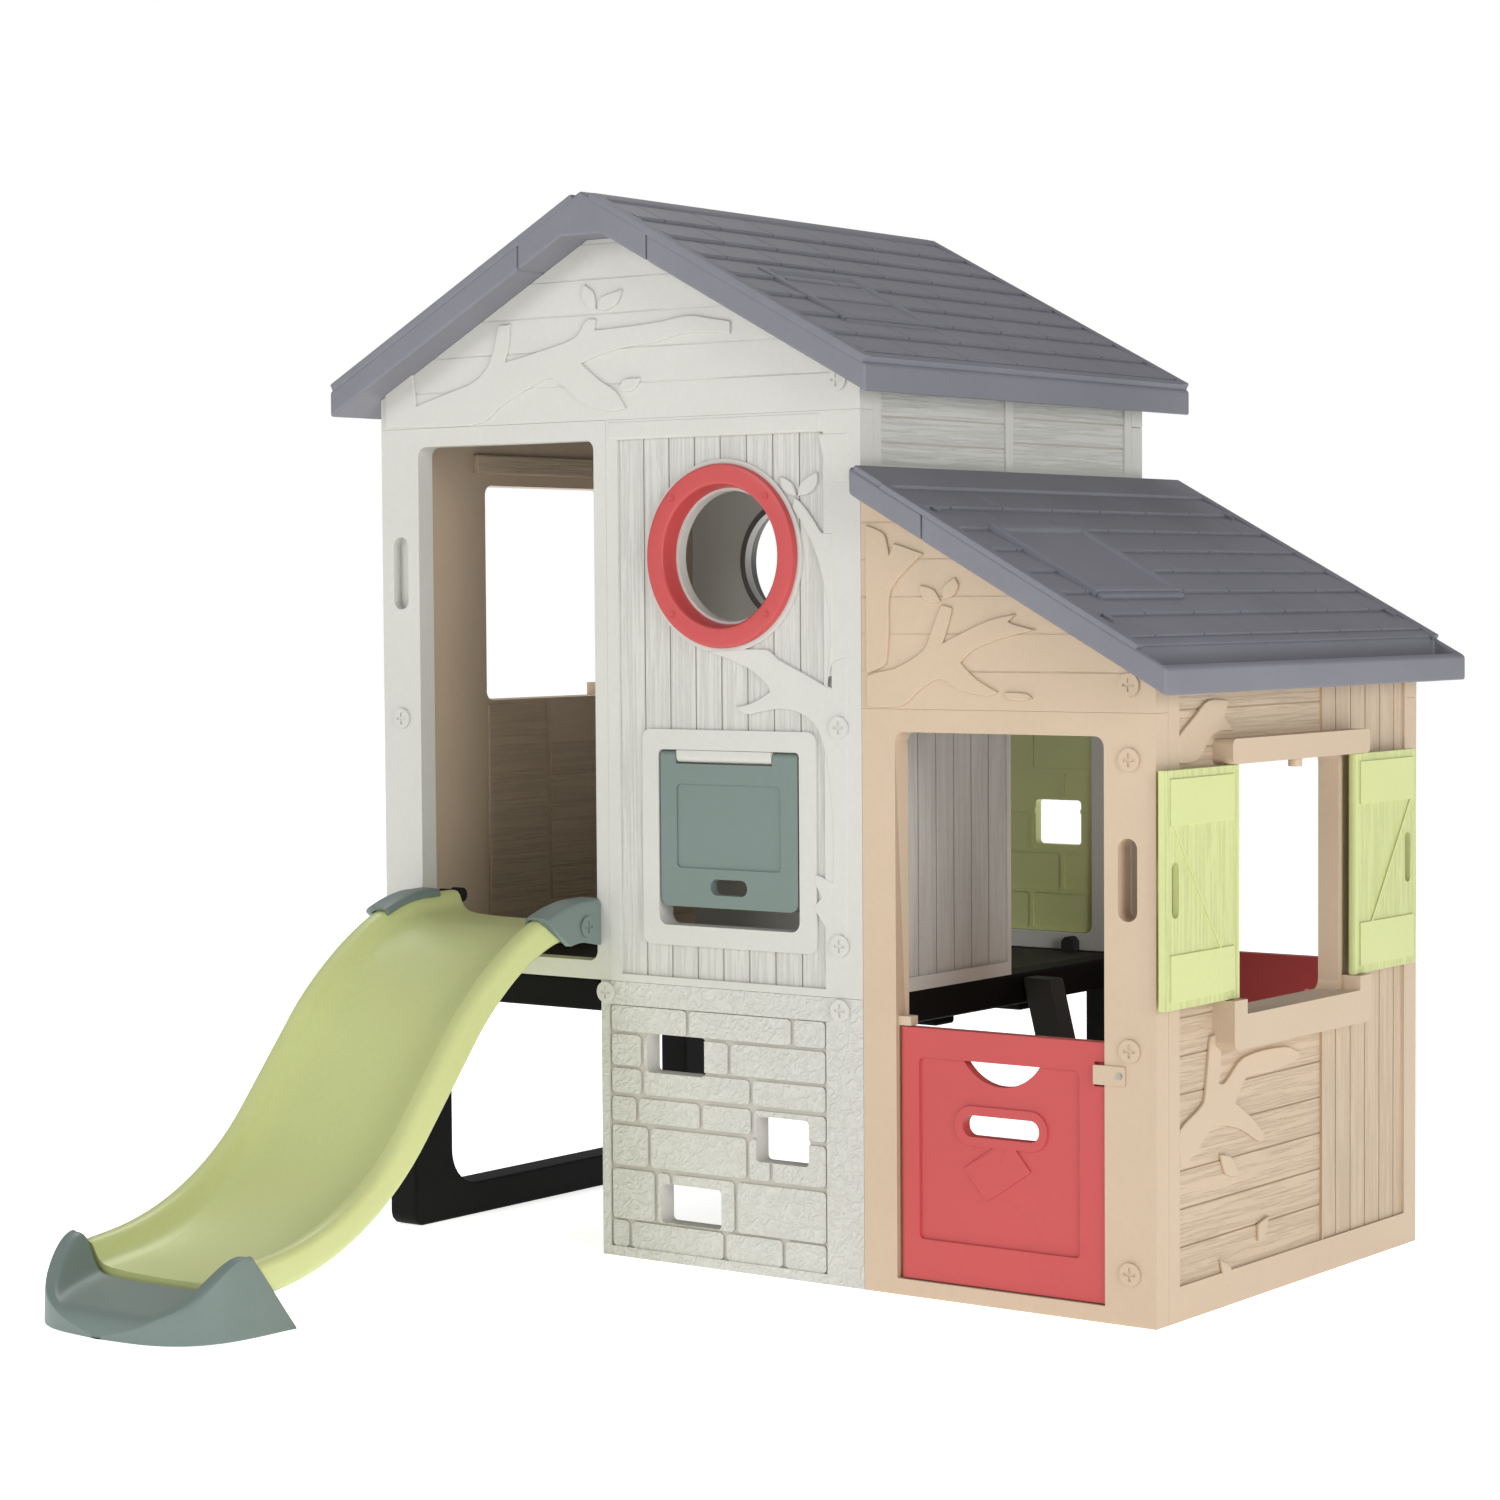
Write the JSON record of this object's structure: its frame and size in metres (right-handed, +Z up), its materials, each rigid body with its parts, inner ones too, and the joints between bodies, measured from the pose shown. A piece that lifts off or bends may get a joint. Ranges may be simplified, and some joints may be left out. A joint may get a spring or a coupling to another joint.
{
  "type": "plastic playhouse",
  "caption": "Raised plastic tower playhouse with a slide, joined to a ground-level room under a lean-to roof, with half-door, hatch and shutters.",
  "frame": {"origin": "on the ground, under the middle of the whole object's bounding box", "axes": "+Z up; +Y from the slide's foot towards the rear wall; +X from the tower towards the extension"},
  "size_m": [1.7992, 2.0608, 1.9124],
  "materials": {
    "white": "satin, fine moulded wood grain",
    "beige": "satin, fine moulded wood grain",
    "slate": "satin, moulded shingles",
    "red": "satin",
    "lime": "satin",
    "sage": "satin",
    "black": "satin",
    "charcoal": "satin",
    "ring_grey": "satin",
    "screw_steel": "bright"
  },
  "bodies": {
    "house": {"catch_screw": "screw_steel", "deck_left": "charcoal", "deck_lug": "charcoal", "deck_right": "charcoal", "door_catch": "beige", "ext_front_gable": "beige", "ext_front_wall": "beige", "ext_rear_gable": "beige", "ext_rear_wall": "beige", "ext_right_wall": "beige", "front_beam": "black", "front_door_panel": "white", "front_gable": "white", "front_window_panel": "white", "front_window_ring": "red", "hatch_hinge_bar": "white", "joist_front": "black", "joist_rear": "black", "ladder_rail_front": "charcoal", "ladder_rail_rear": "charcoal", "ladder_tread_1": "charcoal", "ladder_tread_2": "charcoal", "lean_roof": "slate", "lean_top_strip": "slate", "left_beam": "black", "left_leg_frame": "black", "left_wall": "beige", "rear_barrier": "lime", "rear_beam": "black", "rear_door_panel": "white", "rear_gable": "white", "rear_play_panel": "red", "rear_window_panel": "white", "rear_window_ring": "ring_grey", "right_beam": "black", "right_rear_post": "black", "right_wall_header": "white", "right_wall_panel": "white", "roof_left": "slate", "roof_ridge": "slate", "roof_right": "slate", "screws_ext_front": "beige", "screws_ext_rear": "beige", "screws_slide": "sage", "screws_tower_front": "white", "screws_tower_rear": "white", "slide_bracket_left": "sage", "slide_bracket_right": "sage", "slide_chute": "lime", "slide_foot": "sage", "stone_panel": "white", "wall_clips": "charcoal", "window_knob": "beige"},
    "half_door": {"half_door": "red"},
    "hatch_flap": {"hatch_flap": "sage"},
    "shutter_front": {"shutter_front": "lime"},
    "shutter_rear": {"shutter_rear": "lime"}
  },
  "joints": [
    {"name": "half_door_hinge", "type": "hinge", "parent": "house", "child": "half_door", "pos_m": [0.34435, 0.02238, 0.244], "axis": [0, 0, 1], "range_deg": [0, 90]},
    {"name": "hatch_hinge", "type": "hinge", "parent": "house", "child": "hatch_flap", "pos_m": [-0.02515, 0.01638, 0.9093], "axis": [1, 0, 0], "range_deg": [-80, 80]},
    {"name": "shutter_front_hinge", "type": "hinge", "parent": "house", "child": "shutter_front", "pos_m": [0.85535, 0.23438, 0.714], "axis": [0, 0, 1], "range_deg": [0, 135]},
    {"name": "shutter_rear_hinge", "type": "hinge", "parent": "house", "child": "shutter_rear", "pos_m": [0.85535, 0.66638, 0.714], "axis": [0, 0, -1], "range_deg": [0, 135]}
  ]
}
